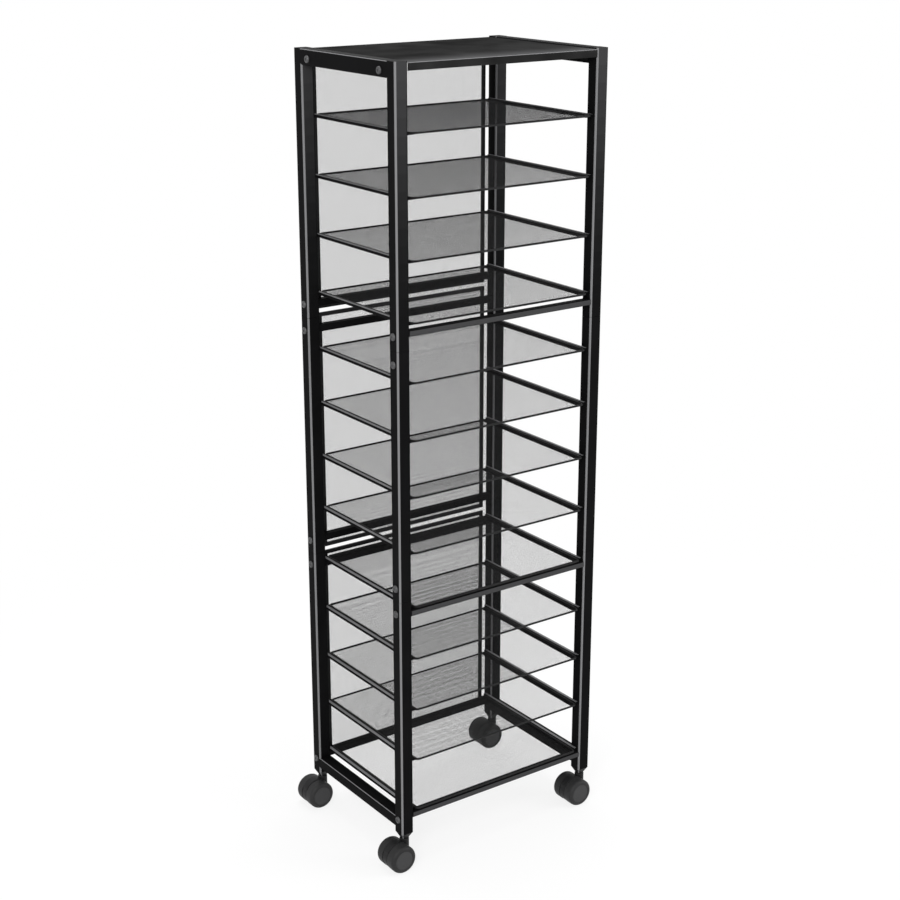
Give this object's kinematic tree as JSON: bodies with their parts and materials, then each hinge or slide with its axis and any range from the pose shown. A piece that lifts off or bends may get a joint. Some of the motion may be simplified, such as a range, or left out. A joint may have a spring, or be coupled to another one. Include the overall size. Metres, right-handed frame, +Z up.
{
  "type": "mobile file cart",
  "caption": "Tall narrow file cart: black square-tube frame, wire-mesh trays that draw out to the front, mesh back, flat top panel and twin-wheel swivel casters.",
  "frame": {"origin": "on the floor under the middle of the bounding box", "axes": "+Z up, front (the open side the trays draw out of) towards -Y, +X to the right seen from the front"},
  "size_m": [0.4338, 0.3104, 1.324],
  "materials": {
    "black_coat": "semi-gloss black powder coat",
    "panel_coat": "semi-gloss black powder coat on folded sheet",
    "black_wire": "black powder coat on wire and mesh",
    "bolt_steel": "dark plated steel",
    "caster_plastic": "moulded black nylon",
    "wheel_plastic": "moulded dark grey nylon",
    "plain_steel": "plain turned steel"
  },
  "bodies": {
    "frame": {"left_side_frame_upper": "black_coat", "right_side_frame_upper": "black_coat", "left_side_frame_middle": "black_coat", "right_side_frame_middle": "black_coat", "left_side_frame_lower": "black_coat", "right_side_frame_lower": "black_coat", "splice_front_left_upper": "bolt_steel", "splice_rear_left_upper": "bolt_steel", "splice_front_right_upper": "bolt_steel", "splice_rear_right_upper": "bolt_steel", "splice_front_left_lower": "bolt_steel", "splice_rear_left_lower": "bolt_steel", "splice_front_right_lower": "bolt_steel", "splice_rear_right_lower": "bolt_steel", "front_crossbar_upper": "black_coat", "front_crossbar_lower": "black_coat", "front_crossbar_bottom": "black_coat", "rear_crossbar_upper": "black_coat", "rear_crossbar_lower": "black_coat", "rear_crossbar_bottom": "black_coat", "rear_crossbar_middle_head": "black_coat", "rear_crossbar_middle_foot": "black_coat", "top_panel": "panel_coat", "back_panel_upper": "black_wire", "back_panel_middle": "black_wire", "back_panel_lower": "black_wire", "caster_stem_front_left": "caster_plastic", "caster_stem_rear_left": "caster_plastic", "caster_stem_front_right": "caster_plastic", "caster_stem_rear_right": "caster_plastic"},
    "tray_01": {"tray_01": "black_wire"},
    "tray_02": {"tray_02": "black_wire"},
    "tray_03": {"tray_03": "black_wire"},
    "tray_04": {"tray_04": "black_wire"},
    "tray_05": {"tray_05": "black_wire"},
    "tray_06": {"tray_06": "black_wire"},
    "tray_07": {"tray_07": "black_wire"},
    "tray_08": {"tray_08": "black_wire"},
    "tray_09": {"tray_09": "black_wire"},
    "tray_10": {"tray_10": "black_wire"},
    "tray_11": {"tray_11": "black_wire"},
    "tray_12": {"tray_12": "black_wire"},
    "tray_13": {"tray_13": "black_wire"},
    "caster_front_left": {"caster_housing_front_left": "caster_plastic", "caster_axle_front_left": "plain_steel"},
    "caster_wheel_front_front_left": {"caster_wheel_front_front_left": "wheel_plastic"},
    "caster_wheel_rear_front_left": {"caster_wheel_rear_front_left": "wheel_plastic"},
    "caster_rear_left": {"caster_housing_rear_left": "caster_plastic", "caster_axle_rear_left": "plain_steel"},
    "caster_wheel_front_rear_left": {"caster_wheel_front_rear_left": "wheel_plastic"},
    "caster_wheel_rear_rear_left": {"caster_wheel_rear_rear_left": "wheel_plastic"},
    "caster_front_right": {"caster_housing_front_right": "caster_plastic", "caster_axle_front_right": "plain_steel"},
    "caster_wheel_front_front_right": {"caster_wheel_front_front_right": "wheel_plastic"},
    "caster_wheel_rear_front_right": {"caster_wheel_rear_front_right": "wheel_plastic"},
    "caster_rear_right": {"caster_housing_rear_right": "caster_plastic", "caster_axle_rear_right": "plain_steel"},
    "caster_wheel_front_rear_right": {"caster_wheel_front_rear_right": "wheel_plastic"},
    "caster_wheel_rear_rear_right": {"caster_wheel_rear_rear_right": "wheel_plastic"}
  },
  "joints": [
    {"name": "tray_01_slide", "type": "slide", "parent": "frame", "child": "tray_01", "axis": [0, -1, 0], "range_m": [0, 0.18]},
    {"name": "tray_02_slide", "type": "slide", "parent": "frame", "child": "tray_02", "axis": [0, -1, 0], "range_m": [0, 0.18]},
    {"name": "tray_03_slide", "type": "slide", "parent": "frame", "child": "tray_03", "axis": [0, -1, 0], "range_m": [0, 0.18]},
    {"name": "tray_04_slide", "type": "slide", "parent": "frame", "child": "tray_04", "axis": [0, -1, 0], "range_m": [0, 0.18]},
    {"name": "tray_05_slide", "type": "slide", "parent": "frame", "child": "tray_05", "axis": [0, -1, 0], "range_m": [0, 0.18]},
    {"name": "tray_06_slide", "type": "slide", "parent": "frame", "child": "tray_06", "axis": [0, -1, 0], "range_m": [0, 0.18]},
    {"name": "tray_07_slide", "type": "slide", "parent": "frame", "child": "tray_07", "axis": [0, -1, 0], "range_m": [0, 0.18]},
    {"name": "tray_08_slide", "type": "slide", "parent": "frame", "child": "tray_08", "axis": [0, -1, 0], "range_m": [0, 0.18]},
    {"name": "tray_09_slide", "type": "slide", "parent": "frame", "child": "tray_09", "axis": [0, -1, 0], "range_m": [0, 0.18]},
    {"name": "tray_10_slide", "type": "slide", "parent": "frame", "child": "tray_10", "axis": [0, -1, 0], "range_m": [0, 0.18]},
    {"name": "tray_11_slide", "type": "slide", "parent": "frame", "child": "tray_11", "axis": [0, -1, 0], "range_m": [0, 0.18]},
    {"name": "tray_12_slide", "type": "slide", "parent": "frame", "child": "tray_12", "axis": [0, -1, 0], "range_m": [0, 0.18]},
    {"name": "tray_13_slide", "type": "slide", "parent": "frame", "child": "tray_13", "axis": [0, -1, 0], "range_m": [0, 0.18]},
    {"name": "caster_front_left_swivel", "type": "hinge", "parent": "frame", "child": "caster_front_left", "pos_m": [-0.1765, -0.13025, 0.052], "axis": [0, 0, 1], "continuous": true},
    {"name": "caster_wheel_front_front_left_roll", "type": "hinge", "parent": "caster_front_left", "child": "caster_wheel_front_front_left", "pos_m": [-0.1925, -0.13025, 0.024], "axis": [0, 1, 0], "continuous": true},
    {"name": "caster_wheel_rear_front_left_roll", "type": "hinge", "parent": "caster_front_left", "child": "caster_wheel_rear_front_left", "pos_m": [-0.1925, -0.13025, 0.024], "axis": [0, 1, 0], "continuous": true},
    {"name": "caster_rear_left_swivel", "type": "hinge", "parent": "frame", "child": "caster_rear_left", "pos_m": [-0.1765, 0.13025, 0.052], "axis": [0, 0, 1], "continuous": true},
    {"name": "caster_wheel_front_rear_left_roll", "type": "hinge", "parent": "caster_rear_left", "child": "caster_wheel_front_rear_left", "pos_m": [-0.1925, 0.13025, 0.024], "axis": [0, 1, 0], "continuous": true},
    {"name": "caster_wheel_rear_rear_left_roll", "type": "hinge", "parent": "caster_rear_left", "child": "caster_wheel_rear_rear_left", "pos_m": [-0.1925, 0.13025, 0.024], "axis": [0, 1, 0], "continuous": true},
    {"name": "caster_front_right_swivel", "type": "hinge", "parent": "frame", "child": "caster_front_right", "pos_m": [0.203, -0.13025, 0.052], "axis": [0, 0, 1], "continuous": true},
    {"name": "caster_wheel_front_front_right_roll", "type": "hinge", "parent": "caster_front_right", "child": "caster_wheel_front_front_right", "pos_m": [0.187, -0.13025, 0.024], "axis": [0, 1, 0], "continuous": true},
    {"name": "caster_wheel_rear_front_right_roll", "type": "hinge", "parent": "caster_front_right", "child": "caster_wheel_rear_front_right", "pos_m": [0.187, -0.13025, 0.024], "axis": [0, 1, 0], "continuous": true},
    {"name": "caster_rear_right_swivel", "type": "hinge", "parent": "frame", "child": "caster_rear_right", "pos_m": [0.203, 0.13025, 0.052], "axis": [0, 0, 1], "continuous": true},
    {"name": "caster_wheel_front_rear_right_roll", "type": "hinge", "parent": "caster_rear_right", "child": "caster_wheel_front_rear_right", "pos_m": [0.187, 0.13025, 0.024], "axis": [0, 1, 0], "continuous": true},
    {"name": "caster_wheel_rear_rear_right_roll", "type": "hinge", "parent": "caster_rear_right", "child": "caster_wheel_rear_rear_right", "pos_m": [0.187, 0.13025, 0.024], "axis": [0, 1, 0], "continuous": true}
  ]
}
